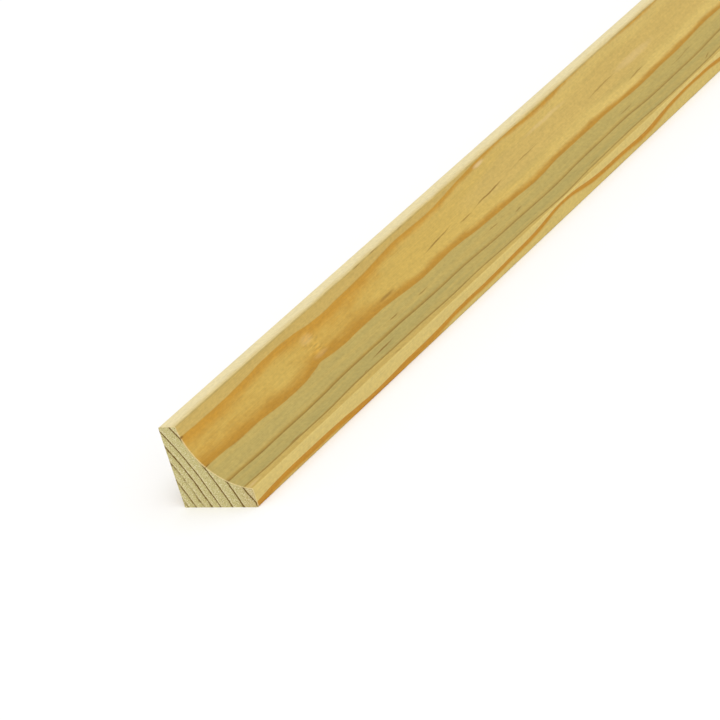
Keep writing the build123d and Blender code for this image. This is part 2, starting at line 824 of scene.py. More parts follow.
@dataclass(frozen=True)
class LongGrainFinish(WoodFinish):
    """Planed wood on the long faces: bands of early and late wood, streaks and canals.

    The colours come first. Each step is named for what it places, with its numbers in
    millimetres, or as a share where it follows a share or a pattern.
    """

    early: tuple = srgb(170, 154, 88)
    early_yellow: tuple = srgb(192, 164, 86)
    # Lighter early wood near the top of the cove: painted light, for the cove's upper part catching more
    # light.
    lit_early_top: tuple = srgb(198, 169, 92)
    first_wood: tuple = srgb(184, 161, 88)
    late_pale: tuple = srgb(199, 167, 80)
    late_palest: tuple = srgb(206, 178, 98)
    late_brown: tuple = srgb(160, 125, 42)
    orange: tuple = srgb(193, 143, 40)
    # Darker orange lower in the cove: painted shade of the cove's lower part.
    shaded_orange_low: tuple = srgb(178, 131, 34)
    spill: tuple = srgb(178, 140, 56)
    line: tuple = srgb(132, 104, 34)
    # Pale cream top land: partly the wood's own paler tone, partly a painted highlight of the light from
    # above.
    land: tuple = srgb(229, 214, 165)
    land_low_less_lit: tuple = srgb(214, 192, 130)
    # Paler early wood on the front land: partly its own tone, partly painted light on the front-facing land.
    front: tuple = srgb(208, 184, 107)
    front_pale: tuple = srgb(203, 178, 98)
    strip: tuple = srgb(187, 131, 17)
    # Pale rim at the sawn ends: torn fibres with a painted highlight along the end edges.
    torn_and_lit_edge: tuple = srgb(222, 202, 146)
    # Darker line along the top arris: a painted shadow line.
    arris: tuple = srgb(166, 142, 72)
    canal: tuple = srgb(128, 88, 12)
    fleck: tuple = srgb(222, 194, 140)
    yellow_streaks: Step = Step(0.42, 0.66, 0.0, 0.4)
    new_growth: Step = Step(0.0, 0.45, 0.7, 0.0)
    lit_top_reach: Step = Step(6.5, 8.2, 1.0, 0.0)
    front_land: Step = Step(17.2, 17.4)
    front_deep: Step = Step(0.9, 1.6, 1.0, 0.0)
    broad_ring: Step = Step(0.7, 1.3)
    swing_length: float = 170.0
    swing_share: Step = Step(0.4, 0.6)
    swing_from: Step = Step(235.0, 330.0)
    rim_narrows: tuple[float, float] = (38.0, 115.0)
    rim_least: Step = Step(6.8, 9.2, 0.52, 0.85)
    orange_shade_reach: Step = Step(5.2, 7.6)
    rim_jitter: float = 0.5
    band_inside: Step = Step(0.15, 0.85)
    bleaching: Step = Step(70.0, 180.0)
    spill_reach: Step = Step(-0.02, 0.11, 0.6, 0.0)
    spill_jitter: float = 0.12
    broad_late: Step = Step(0.62, 0.9, 1.0, 0.0)
    narrow_late: Step = Step(0.1, 1.1, 1.0, 0.0)
    narrow_fade: Step = Step(55.0, 115.0, 0.85, 0.6)
    strip_reach: Step = Step(0.29, 0.6, 1.0, 0.0)
    strip_jitter: float = 0.15
    line_reach: Step = Step(0.02, 0.17, 1.0, 0.0)
    pale_and_lit_land_level: Step = Step(17.25, 17.4, 0.0, 0.95)
    land_highlight_reach: Step = Step(1.9, 3.9)
    land_highlight_jitter: float = 2.4
    arris_shade_reach: Step = Step(0.08, 0.4, 1.0, 0.0)
    arris_shade_broken: Step = Step(0.3, 0.6, 0.15, 0.7)
    arris_shade_jitter: float = 0.8
    torn_width: float = 0.5
    torn_least: float = 0.1
    torn_and_lit_reach: Step = Step(0.6, 1.3, 0.75, 0.0)
    streaks: Step = Step(0.25, 0.75, 0.93, 1.06)
    blotches: Grain = Grain(7.0, 1.6, 3.0, 0.6)
    blotch_tone: float = 0.12
    mottle: Grain = Grain(1.1, 0.6, 2.0, 0.6)
    mottle_tone: float = 0.36
    ripples: Grain = Grain(2.2, 0.38, 1.0)
    chatter_along: float = 45.5
    chatter_reach: float = 10.5
    chatter_size: tuple[float, float] = (3.4, 3.8)
    chatter_rim: Step = Step(0.4, 1.1, 1.0, 0.0)
    chatter_tone: float = 0.75
    mark_wobble: Grain = Grain(4.0, 4.0)
    mark_wander: float = 0.5
    mark_rim: tuple[float, float] = (0.3, 1.2)
    scattered_from: float = 205.0
    scattered_share: float = 0.03
    scattered_depth: float = 0.7
    roughness: Step = Step(0.0, 1.0, 0.5, 0.65)
    fibre_roughness: float = 0.15
    specular: float = 0.35
    late_relief: Step = Step(0.0, 1.0, 1.0, 0.0)
    late_height: float = 0.5
    canal_height: float = -0.8
    chatter_height: float = 2.0
    bump_strength: float = 0.4
    bump_height: float = 0.04 * MM
    canals: tuple[ResinCanal, ...] = (
        ResinCanal(0.4, 6.45, 1.6, 0.55, 0.0, 0.9),
        ResinCanal(0.8, 13.9, 2.2, 0.35, 0.0, 0.85),
        ResinCanal(19.5, 22.6, 5.0, 0.42, 0.0, 0.6),
        ResinCanal(56.5, 20.85, 10.0, 0.40, 0.35, 0.8),
        ResinCanal(47.5, 22.2, 2.2, 0.35, 0.3, 0.45),
        ResinCanal(57.0, 24.2, 3.0, 0.45, 0.0, 0.45),
        ResinCanal(67.5, 17.1, 3.8, 0.38, 0.1, 0.65),
        ResinCanal(79.0, 17.4, 5.0, 0.34, 0.1, 0.5),
        ResinCanal(71.5, 12.9, 7.0, 0.80, 0.2, 0.55),
        ResinCanal(95.0, 11.4, 13.0, 0.38, 0.8, 0.7),
        ResinCanal(106.5, 12.0, 6.0, 0.34, 0.1, 0.6),
        ResinCanal(118.0, 11.4, 17.0, 0.40, 0.7, 0.75),
        ResinCanal(134.0, 10.6, 16.0, 0.34, 0.5, 0.4),
        ResinCanal(109.5, 17.5, 4.5, 0.34, 0.0, 0.5),
        ResinCanal(119.0, 18.4, 3.5, 0.38, 0.1, 0.6),
        ResinCanal(76.5, 4.08, 5.0, 0.34, 0.0, 0.55),
        ResinCanal(69.5, 4.08, 4.0, 0.30, 0.0, 0.45),
        ResinCanal(87.0, 4.08, 3.0, 0.28, 0.0, 0.35),
        ResinCanal(145.5, 22.6, 5.0, 0.40, 0.4, 0.4),
        ResinCanal(169.5, 18.3, 7.0, 0.40, 0.1, 0.45),
        ResinCanal(171.0, 10.5, 14.0, 0.42, 0.5, 0.45),
        ResinCanal(184.0, 13.6, 10.0, 0.40, 0.3, 0.5),
        ResinCanal(202.0, 22.6, 4.0, 0.40, 1.0, 0.55),
        ResinCanal(199.0, 17.8, 12.0, 0.40, 0.5, 0.35),
    )
    flecks: tuple[ResinCanal, ...] = (
        ResinCanal(120.0, 5.15, 5.2, 1.1, 0.0, 0.75),
        ResinCanal(148.0, 7.6, 20.0, 1.0, 0.0, 0.35),
        ResinCanal(187.0, 10.3, 20.0, 2.0, 0.0, 0.30),
        ResinCanal(45.0, 8.5, 5.0, 2.4, 0.0, 0.25),
        ResinCanal(2.0, 23.6, 6.0, 0.8, 0.0, 0.35),
        ResinCanal(45.5, 12.6, 6.0, 1.3, 0.0, 0.18),
    )

    def _marks(
        self, g: Graph, place: bpy.types.NodeSocket, marks: tuple[ResinCanal, ...]
    ) -> bpy.types.NodeSocket:
        """Adds long thin marks at set places.

        Args:
            g: The material's graph.
            place: Places in millimetres.
            marks: The marks.

        Returns:
            How strongly the marks show at each place, from 0 to 1.
        """
        wobble = g.grain(place, self.mark_wobble).outputs[1]
        wobble = g.vector(VectorOp.SUBTRACT, wobble, (0.5, 0.5, 0.5))
        bent = g.vector(VectorOp.MULTIPLY_ADD, wobble, (0.0, self.mark_wander, self.mark_wander), place)
        total = 0.0
        for mark in marks:
            out, up = self.section.worked_point(mark.reach)
            ahead_out, ahead_up = self.section.worked_point(mark.reach - mark.slant)
            middle = g.vector(VectorOp.SUBTRACT, bent, (mark.along, out, up))
            along = g.node("ShaderNodeSeparateXYZ", {0: middle}).outputs[0]
            lean_out = g.sum(MathOp.MULTIPLY, along, (out - ahead_out) / mark.length)
            lean_up = g.sum(MathOp.MULTIPLY, along, (up - ahead_up) / mark.length)
            lean = g.node("ShaderNodeCombineXYZ", {1: lean_out, 2: lean_up}).outputs[0]
            shrink = (2 / mark.length, 2 / mark.width, 2 / mark.width)
            scaled = g.vector(VectorOp.MULTIPLY, g.vector(VectorOp.ADD, middle, lean), shrink)
            shown = g.ramp(g.vector(VectorOp.LENGTH, scaled), *self.mark_rim, mark.depth, 0.0)
            total = g.sum(MathOp.MAXIMUM, shown, total)
        return total

    def _chatter(self, g: Graph, place: bpy.types.NodeSocket) -> bpy.types.NodeSocket:
        """Adds the small patch where the cutter chattered over tilted fibres.

        Args:
            g: The material's graph.
            place: Places in millimetres.

        Returns:
            Ripples about 0, strongest in the middle of the patch.
        """
        out, up = self.section.worked_point(self.chatter_reach)
        off = g.vector(VectorOp.SUBTRACT, place, (self.chatter_along, out, up))
        length, width = self.chatter_size
        far = g.vector(VectorOp.LENGTH, g.vector(VectorOp.MULTIPLY, off, (1 / length, 1 / width, 1 / width)))
        return g.sum(MathOp.MULTIPLY, g.uneven(place, self.ripples), g.step(far, self.chatter_rim))

    def _read(self, g: Graph) -> Reading:
        """Adds what the layers of the finish read.

        Args:
            g: The material's graph.

        Returns:
            The sockets.
        """
        place = self.place(g)
        along, out, up = g.node("ShaderNodeSeparateXYZ", {0: place}).outputs
        rings = self.effects.rings.use(g, {"Place": place}).outputs
        fibre = self.effects.fibre.use(g, {"Place": place}).outputs
        blotch = g.uneven(place, self.blotches)
        depth = g.sum(MathOp.DIVIDE, rings["To edge"], rings["Latewood"])
        return Reading(place, along, out, up, rings, fibre, blotch, depth, g.step(out, self.front_land))

    def _opened(self, g: Graph, read: Reading) -> bpy.types.NodeSocket:
        """Adds the resin canals: set ones near the near end, and scattered ones past them.

        Args:
            g: The material's graph.
            read: What the finish reads.

        Returns:
            How strongly they show, from 0 to 1.
        """
        inputs = {"Place": read.place, "Share": self.scattered_share}
        scattered = self.effects.canals.use(g, inputs).outputs["Mask"]
        past = g.sum(MathOp.GREATER, read.along, self.scattered_from)
        scattered = g.sum(MathOp.MULTIPLY, g.sum(MathOp.MULTIPLY, scattered, past), self.scattered_depth)
        return g.sum(MathOp.MAXIMUM, self._marks(g, read.place, self.canals), scattered)

    def _early(self, g: Graph, read: Reading) -> bpy.types.NodeSocket:
        """Adds the early wood, with late wood's colour spilt over the edge inside it, painted light that
        makes it lighter near the top of the cove, and a paler tone on the front land that is partly painted
        light.

        Args:
            g: The material's graph.
            read: What the finish reads.

        Returns:
            Its colour.
        """
        from_edge = read.rings["From edge"]
        early = g.mix(read.rings["Tone"], self.early, self.early_yellow)
        early = g.mix(g.step(read.fibre["Broad"], self.yellow_streaks), early, self.early_yellow)
        early = g.mix(g.step(from_edge, self.new_growth), early, self.first_wood)
        # Painted light: the early wood is lighter near the top of the cove.
        early = g.mix(g.step(read.out, self.lit_top_reach), early, self.lit_early_top)
        # The front land's paler early wood is partly painted light on the front-facing land.
        front = g.mix(g.step(read.rings["To edge"], self.front_deep), self.front, self.front_pale)
        early = g.mix(read.front, early, front)
        spilt = g.sum(MathOp.MULTIPLY_ADD, read.blotch, self.spill_jitter, from_edge)
        return g.mix(g.step(spilt, self.spill_reach), early, self.spill)

    def _band(self, g: Graph, read: Reading) -> bpy.types.NodeSocket:
        """Adds the broad band of late wood: orange at its rims and pale inside, with painted shade that
        darkens the orange lower in the cove.

        Args:
            g: The material's graph.
            read: What the finish reads.

        Returns:
            Its colour.
        """
        swing = g.noise(g.stretched(read.place, (1 / self.swing_length, 0.0, 0.0)), 1.0).outputs[0]
        later = g.sum(MathOp.MINIMUM, g.step(read.along, self.swing_from), g.step(swing, self.swing_share))
        rim = g.ramp(read.along, *self.rim_narrows, 1.0, g.step(read.out, self.rim_least))
        rim = g.sum(MathOp.MAXIMUM, rim, later)
        inside = g.sum(MathOp.MULTIPLY_ADD, read.blotch, self.rim_jitter, read.rings["To edge"])
        inside = g.step(g.sum(MathOp.DIVIDE, inside, rim), self.band_inside)
        # Painted shade: the orange is darker lower in the cove.
        orange = g.mix(g.step(read.out, self.orange_shade_reach), self.orange, self.shaded_orange_low)
        pale = g.mix(g.step(read.along, self.bleaching), self.late_pale, self.late_palest)
        return g.mix(inside, orange, pale)

    def _ringed(self, g: Graph, read: Reading) -> bpy.types.NodeSocket:
        """Adds the rings: early wood, late wood and the dark line at each ring's edge.

        Args:
            g: The material's graph.
            read: What the finish reads.

        Returns:
            Their colour.
        """
        to_edge = read.rings["To edge"]
        broad = g.step(read.rings["Latewood"], self.broad_ring)
        early = self._early(g, read)
        late = g.mix(broad, self.late_brown, self._band(g, read))
        wide = g.mix(g.step(read.depth, self.broad_late), early, late)
        fade = g.step(read.along, self.narrow_fade)
        narrow = g.mix(g.sum(MathOp.MULTIPLY, g.step(read.depth, self.narrow_late), fade), early, late)
        wood = g.mix(broad, narrow, wide)
        edge = g.sum(MathOp.MULTIPLY_ADD, read.blotch, self.strip_jitter, to_edge)
        wood = g.mix(g.sum(MathOp.MULTIPLY, g.step(edge, self.strip_reach), read.front), wood, self.strip)
        line = g.sum(MathOp.MULTIPLY, read.rings["Line"], g.sum(MathOp.SUBTRACT, 1.0, read.front))
        line = g.sum(MathOp.MULTIPLY, g.step(to_edge, self.line_reach), line)
        return g.mix(line, wood, self.line)

    def _bordered(self, g: Graph, read: Reading, wood: bpy.types.NodeSocket) -> bpy.types.NodeSocket:
        """Adds the pale top land, partly its own tone and partly a painted highlight, a painted shadow line
        along the arris beside it, and the pale rims of the sawn ends, torn fibres with a painted highlight.

        Args:
            g: The material's graph.
            read: What the finish reads.
            wood: The rings' colour.

        Returns:
            The colour with them.
        """
        # The top land is pale cream, partly its own tone and partly a painted highlight, palest towards the
        # back.
        ragged = g.sum(MathOp.MULTIPLY_ADD, read.blotch, self.land_highlight_jitter, read.out)
        land = g.mix(g.step(ragged, self.land_highlight_reach), self.land, self.land_low_less_lit)
        wood = g.mix(g.step(read.up, self.pale_and_lit_land_level), wood, land)
        # Painted shadow line: a darker, broken line along the top arris.
        across = g.node("ShaderNodeCombineXYZ", {1: read.out, 2: read.up}).outputs[0]
        arris_out = (self.section.back - self.section.top_arris.x) / MM
        aside = g.vector(VectorOp.DISTANCE, across, (0.0, arris_out, self.section.height / MM))
        broken = g.sum(MathOp.MULTIPLY_ADD, read.blotch, self.arris_shade_jitter, read.fibre["Broad"])
        broken = g.step(broken, self.arris_shade_broken)
        wood = g.mix(g.sum(MathOp.MULTIPLY, g.step(aside, self.arris_shade_reach), broken), wood, self.arris)
        # Pale rims on the long faces at the sawn ends: torn fibres with a painted highlight along the end
        # edges.
        ends = g.sum(MathOp.MINIMUM, read.along, g.sum(MathOp.SUBTRACT, self.length / MM, read.along))
        torn = g.sum(MathOp.MULTIPLY_ADD, read.fibre["Fine"], self.torn_width, self.torn_least)
        return g.mix(g.step(g.sum(MathOp.DIVIDE, ends, torn), self.torn_and_lit_reach), wood, self.torn_and_lit_edge)

    def _streak(self, g: Graph, read: Reading, chatter: bpy.types.NodeSocket) -> bpy.types.NodeSocket:
        """Adds the small differences in tone.

        Args:
            g: The material's graph.
            read: What the finish reads.
            chatter: The cutter's ripples.

        Returns:
            A grey about 1 that the colour is multiplied by.
        """
        streak = g.step(read.fibre["Fine"], self.streaks)
        streak = g.sum(MathOp.MULTIPLY_ADD, chatter, self.chatter_tone, streak)
        streak = g.sum(MathOp.MULTIPLY_ADD, g.uneven(read.place, self.mottle), self.mottle_tone, streak)
        streak = g.sum(MathOp.MULTIPLY_ADD, read.blotch, self.blotch_tone, streak)
        return g.node("ShaderNodeCombineColor", {0: streak, 1: streak, 2: streak}).outputs[0]

    def material(self) -> bpy.types.Material:
        """Builds the material."""
        material, g, shader = self.start("planed_long_grain")
        read = self._read(g)
        fine = read.fibre["Fine"]
        opened = self._opened(g, read)
        chatter = self._chatter(g, read.place)
        wood = self._bordered(g, read, self._ringed(g, read))
        wood = g.mix(1.0, wood, self._streak(g, read, chatter), "MULTIPLY")
        wood = g.mix(self._marks(g, read.place, self.flecks), wood, self.fleck)
        g.put(shader.inputs["Base Color"], g.mix(opened, wood, self.canal))
        uneven = g.sum(MathOp.SUBTRACT, fine, 0.5)
        rough = g.sum(MathOp.MULTIPLY_ADD, uneven, self.fibre_roughness, g.step(read.depth, self.roughness))
        g.put(shader.inputs["Roughness"], rough)
        shader.inputs["Specular IOR Level"].default_value = self.specular
        relief = g.sum(MathOp.MULTIPLY_ADD, g.step(read.depth, self.late_relief), self.late_height, fine)
        relief = g.sum(MathOp.MULTIPLY_ADD, opened, self.canal_height, relief)
        relief = g.sum(MathOp.MULTIPLY_ADD, chatter, self.chatter_height, relief)
        inputs = {"Strength": self.bump_strength, "Distance": self.bump_height, "Height": relief}
        g.put(shader.inputs["Normal"], g.node("ShaderNodeBump", inputs).outputs[0])
        return material


@dataclass(frozen=True)
class EndGrainFinish(WoodFinish):
    """Sawn end grain: pale and speckled, with a dark line along each ring's edge."""

    early: tuple = srgb(192, 181, 122)
    first_wood: tuple = srgb(206, 194, 142)
    late: tuple = srgb(172, 158, 100)
    line: tuple = srgb(104, 76, 18)
    speck_dark: tuple = srgb(132, 114, 38)
    speck_light: tuple = srgb(230, 221, 186)
    warm: tuple = srgb(196, 172, 120)
    speckle: Grain = Grain(0.6, 0.27, 2.0, 0.75)
    patches: Grain = Grain(3.0, 1.1, 2.0, 0.6)
    crumbs: Grain = Grain(0.6, 0.42, 3.0, 0.7)
    crumb_size: float = 0.42
    ray_size: tuple[float, float, float] = (0.6, 0.4, 0.17)
    ray_turn: float = math.radians(-25)
    new_growth: Step = Step(0.0, 0.9, 0.9, 0.0)
    front_warmth: Step = Step(12.5, 17.0, 0.0, 0.6)
    late_reach: Step = Step(0.1, 0.8, 0.8, 0.0)
    light_rays: Step = Step(0.5, 0.68, 0.0, 0.75)
    dark_specks: Step = Step(0.49, 0.29, 0.0, 0.9)
    line_broken: Step = Step(0.8, 1.4)
    line_least: float = 0.16
    line_more: float = 0.3
    line_rim: Step = Step(0.5, 1.25, 0.95, 0.0)
    roughness: Step = Step(0.2, 0.8, 0.72, 0.9)
    specular: float = 0.2
    bump_strength: float = 0.5
    bump_height: float = 0.08 * MM

    def material(self) -> bpy.types.Material:
        """Builds the material."""
        material, g, shader = self.start("sawn_end_grain")
        place = self.place(g)
        out = g.node("ShaderNodeSeparateXYZ", {0: place}).outputs[1]
        rings = self.effects.rings.use(g, {"Place": place}).outputs
        speckle = g.grain(place, self.speckle).outputs[0]
        size = tuple(1 / reach for reach in self.ray_size)
        rays = g.noise(g.stretched(place, size, turn=(self.ray_turn, 0, 0))).outputs[0]
        patch = g.grain(place, self.patches).outputs[0]
        crumbs = g.uneven(place, self.crumbs)
        to_edge = g.sum(MathOp.MULTIPLY_ADD, crumbs, self.crumb_size, rings["To edge"])
        wood = g.mix(g.step(rings["From edge"], self.new_growth), self.early, self.first_wood)
        wood = g.mix(g.step(out, self.front_warmth), wood, self.warm)
        late = g.sum(MathOp.MULTIPLY, g.step(to_edge, self.late_reach), rings["End line"])
        wood = g.mix(late, wood, self.late)
        wood = g.mix(g.step(rays, self.light_rays), wood, self.speck_light)
        wood = g.mix(g.step(speckle, self.dark_specks), wood, self.speck_dark)
        broken = g.step(g.sum(MathOp.ADD, rings["End line"], patch), self.line_broken)
        width = g.sum(MathOp.MULTIPLY_ADD, patch, self.line_more, self.line_least)
        line = g.step(g.sum(MathOp.DIVIDE, to_edge, width), self.line_rim)
        wood = g.mix(g.sum(MathOp.MULTIPLY, line, broken), wood, self.line)
        g.put(shader.inputs["Base Color"], wood)
        g.put(shader.inputs["Roughness"], g.step(speckle, self.roughness))
        shader.inputs["Specular IOR Level"].default_value = self.specular
        relief = g.sum(MathOp.ADD, speckle, rays)
        inputs = {"Strength": self.bump_strength, "Distance": self.bump_height, "Height": relief}
        g.put(shader.inputs["Normal"], g.node("ShaderNodeBump", inputs).outputs[0])
        return material


class Bench:
    """The few Blender operations that the strip's making repeats."""

    @staticmethod
    def only(piece: bpy.types.Object) -> None:
        """Selects one object alone and makes it active."""
        bpy.ops.object.select_all(action="DESELECT")
        piece.select_set(True)
        bpy.context.view_layer.objects.active = piece

    @staticmethod
    def edit(piece: bpy.types.Object, mode: str = "EDGE") -> None:
        """Goes into edit mode with nothing selected.

        Args:
            piece: The object to edit.
            mode: VERT, EDGE or FACE.
        """
        Bench.only(piece)
        bpy.ops.object.mode_set(mode="EDIT")
        bpy.ops.mesh.select_mode(type=mode)
        bpy.ops.mesh.select_all(action="DESELECT")
        bpy.ops.object.mode_set(mode="OBJECT")

    @staticmethod
    def points(piece: bpy.types.Object) -> np.ndarray:
        """The places of a mesh's vertices, one row each."""
        places = np.empty(len(piece.data.vertices) * 3, np.float64)
        piece.data.vertices.foreach_get("co", places)
        return places.reshape(-1, 3)

    @staticmethod
    def edge_ends(piece: bpy.types.Object) -> np.ndarray:
        """The vertex numbers at the two ends of each edge."""
        ends = np.empty(len(piece.data.edges) * 2, np.int32)
        piece.data.edges.foreach_get("vertices", ends)
        return ends.reshape(-1, 2)

    @staticmethod
    def pick(piece: bpy.types.Object, edges: np.ndarray) -> None:
        """Selects edges by a row of true and false, and goes into edit mode."""
        Bench.edit(piece, "EDGE")
        piece.data.edges.foreach_set("select", edges)
        ends = Bench.edge_ends(piece)[edges]
        touched = np.zeros(len(piece.data.vertices), bool)
        touched[ends.ravel()] = True
        piece.data.vertices.foreach_set("select", touched)
        bpy.ops.object.mode_set(mode="EDIT")

    @staticmethod
    def done() -> None:
        """Comes back from edit mode."""
        bpy.ops.object.mode_set(mode="OBJECT")

    @staticmethod
    def apply(piece: bpy.types.Object, modifier: bpy.types.Modifier) -> None:
        """Applies a modifier."""
        Bench.only(piece)
        bpy.ops.object.modifier_apply(modifier=modifier.name)


@dataclass
class MouldingStrip:
    """The strip of moulding, made from a square blank.

    Attributes:
        low: Lowest corner of the strip, in metres.
        high: Highest corner.
        section: Its section.
        pattern: The log that it was cut from.
        facet: Length of a flat on the round cutter.
        cutter_overrun: How much longer the cutter is than the strip.
        ease_segments: Facets round an eased edge.
        arris_catch: An edge this close to one of the section's corners is an arris.
        zones: Distances from an end, each with the mesh's spacing up to there.
        ring_gap: The mesh's spacing in the middle of the strip.
        strips: Bands that the long faces take in the colour map.
        end_grid: The mesh's spacing across the flats and the sawn ends.
        planed_relief: How far soft wood lies below hard wood on the long faces.
        soft_share: How much of that is due to the wood, the rest being the cutter's ripple.
        cutter_pitch: Length of that ripple, in millimetres.
        cutter_drift: How far the ripple drifts, in radians.
        drift_pitch: How slowly it drifts, in millimetres a radian.
        sawn_relief: Depth of the saw's marks.
        saw_way: The direction across the saw's strokes, out from the back and up.
        saw_pitch: Distance from stroke to stroke, in millimetres.
        sawn_shares: What soft wood, strokes and torn fibres add to that depth.
        seed: Starts the random torn fibres.
        smooth_angle: Edges sharper than this stay sharp, in degrees.
        cuts_at_once: A zone with more cuts than this is cut in two rounds.
        first_cuts: Cuts in the first of them.
        map_band: Height of a band in the colour map.
        map_gap: Gap between the map's pieces.
        end_patch: Width of a sawn end in the map.
    """

    low: Vector
    high: Vector
    section: Section
    pattern: LogPattern
    facet: float = 0.45 * MM
    cutter_overrun: float = 1.01
    ease_segments: int = 3
    arris_catch: float = 0.06 * MM
    zones: tuple[tuple[float, float], ...] = (
        (0.25 * MM, 0.25 * MM), (3 * MM, 0.25 * MM), (15 * MM, 1.0 * MM), (60 * MM, 2.5 * MM))
    ring_gap: float = 4.0 * MM
    strips: int = 4
    end_grid: float = 0.55 * MM
    planed_relief: float = 0.025 * MM
    soft_share: float = 0.75
    cutter_pitch: float = 46.0
    cutter_drift: float = 1.3
    drift_pitch: float = 37.0
    sawn_relief: float = 0.07 * MM
    saw_way: tuple[float, float] = (0.55, 0.83)
    saw_pitch: float = 1.9
    sawn_shares: tuple[float, float, float] = (0.35, 0.2, 0.45)
    seed: int = 7
    smooth_angle: float = 32.0
    cuts_at_once: int = 40
    first_cuts: int = 12
    map_band: float = 0.195
    map_gap: float = 0.006
    end_patch: float = 0.16

    @property
    def length(self) -> float:
        """The strip's length."""
        return self.high.x - self.low.x

    def blank(self) -> bpy.types.Object:
        """Makes the square blank."""
        bpy.ops.object.select_all(action="DESELECT")
        size = self.high - self.low
        bpy.ops.mesh.primitive_cube_add(size=1, location=(self.high + self.low) / 2, scale=size)
        piece = bpy.context.object
        piece.name = "planed_strip"
        bpy.ops.object.transform_apply(location=True, rotation=True, scale=True)
        return piece

    def plough(self, piece: bpy.types.Object) -> None:
        """Cuts the cove along the blank's front top corner.

        Args:
            piece: The blank.
        """
        centre = self.section.cove_centre
        turns = round(2 * math.pi * self.section.cove_radius / self.facet)
        bpy.ops.object.select_all(action="DESELECT")
        bpy.ops.mesh.primitive_cylinder_add(
            vertices=turns, radius=self.section.cove_radius, depth=self.length * self.cutter_overrun,
            location=(0, centre.x, centre.y), rotation=(0, math.pi / 2, 0))
        cutter = bpy.context.object
        bpy.ops.object.transform_apply(location=True, rotation=True, scale=True)
        cut = piece.modifiers.new("cove", "BOOLEAN")
        cut.operation = "DIFFERENCE"
        cut.solver = "EXACT"
        cut.object = cutter
        Bench.apply(piece, cut)
        bpy.data.objects.remove(cutter, do_unlink=True)

    def ease(self, piece: bpy.types.Object) -> None:
        """Rounds the five long edges a little.

        Args:
            piece: The ploughed blank.
        """
        places, ends = Bench.points(piece), Bench.edge_ends(piece)
        middle = places[ends].mean(1)
        along = np.abs(places[ends][:, 0, 0] - places[ends][:, 1, 0]) > self.length / 2
        near = np.zeros(len(ends), bool)
        for arris in self.section.arrises():
            near |= np.hypot(middle[:, 1] - arris.x, middle[:, 2] - arris.y) < self.arris_catch
        Bench.pick(piece, along & near)
        bpy.ops.mesh.bevel(
            offset=self.section.arris, segments=self.ease_segments, affect="EDGES", profile=0.5)
        bpy.ops.mesh.select_all(action="SELECT")
        bpy.ops.mesh.remove_doubles(threshold=self.section.arris / 5)
        Bench.done()

    def divide_across(self, piece: bpy.types.Object) -> None:
        """Cuts the four flat faces into narrow strips along their length.

        Args:
            piece: The eased strip.
        """
        for axis in (1, 2):
            for at in self.grid(axis):
                normals = self._normals(piece)
                self._score(piece, np.abs(normals[:, 3 - axis]) > FLAT, axis, at)

    def grid(self, axis: int) -> list[float]:
        """Where the grid lines of the flats and the ends cross an axis.

        Args:
            axis: 1 for Y or 2 for Z.

        Returns:
            Places along that axis, none of them on an eased edge.
        """
        low, high = self.low[axis], self.high[axis]
        arris = self.section.top_arris.x if axis == 1 else self.section.front_arris.y
        count = round((high - low) / self.end_grid)
        places = [low + (high - low) * k / count for k in range(1, count)]
        return [at for at in places if abs(at - arris) > 1.5 * self.section.arris]

    def score_along(self, piece: bpy.types.Object) -> None:
        """Cuts the strip across at each zone's border and at each strip of the colour map.

        Args:
            piece: The strip, divided across.
        """
        for mark in self.marks()[1:-1]:
            self._score(piece, np.ones(len(piece.data.polygons), bool), 0, self.low.x + mark)

    def marks(self) -> list[float]:
        """Distances from the near end of the zones' borders, both ends included."""
        reaches = [reach for reach, _ in self.zones]
        joins = [self.length * k / self.strips for k in range(1, self.strips)]
        return sorted([0.0, *reaches, *joins, *(self.length - reach for reach in reaches), self.length])

    def score_ends(self, piece: bpy.types.Object) -> None:
        """Cuts a fine grid into both sawn ends.

        Args:
            piece: The strip, cut across at the zones' borders.
        """
        for axis in (1, 2):
            for at in self.grid(axis):
                normals = self._normals(piece)
                self._score(piece, np.abs(normals[:, 0]) > END_ON, axis, at)

    def divide_along(self, piece: bpy.types.Object) -> None:
        """Divides each zone along its length, finely near the ends and coarsely between.

        Args:
            piece: The strip, with its grids cut.
        """
        marks = self.marks()
        for left, right in zip(marks[:-1], marks[1:]):
            near = min(right, self.length - left)
            gap = next((gap for reach, gap in self.zones if near < reach + TOUCH), self.ring_gap)
            steps = round((right - left) / gap)
            whole = steps < self.cuts_at_once
            for count in (steps,) if whole else (self.first_cuts, round(steps / self.first_cuts)):
                if count < 2:
                    continue
                ends = Bench.edge_ends(piece)
                x = Bench.points(piece)[ends][:, :, 0] - self.low.x
                inside = (x.min(1) > left - TOUCH) & (x.max(1) < right + TOUCH)
                Bench.pick(piece, inside & (np.ptp(x, axis=1) > 10 * TOUCH))
                bpy.ops.mesh.subdivide(number_cuts=count - 1)
                Bench.done()

    @staticmethod
    def _normals(piece: bpy.types.Object) -> np.ndarray:
        """The normals of a mesh's faces, one row each."""
        normals = np.empty(len(piece.data.polygons) * 3)
        piece.data.polygons.foreach_get("normal", normals)
        return normals.reshape(-1, 3)

    @staticmethod
    def _score(piece: bpy.types.Object, faces: np.ndarray, axis: int, at: float) -> None:
        """Cuts chosen faces with a plane square to one axis.

        Args:
            piece: The strip.
            faces: True for each face to cut.
            axis: 0, 1 or 2 for X, Y or Z.
            at: Where the plane crosses that axis.
        """
        Bench.edit(piece, "FACE")
        piece.data.polygons.foreach_set("select", faces)
        bpy.ops.object.mode_set(mode="EDIT")
        point = tuple(at if k == axis else 0.0 for k in range(3))
        normal = tuple(float(k == axis) for k in range(3))
        bpy.ops.mesh.bisect(plane_co=point, plane_no=normal)
        Bench.done()

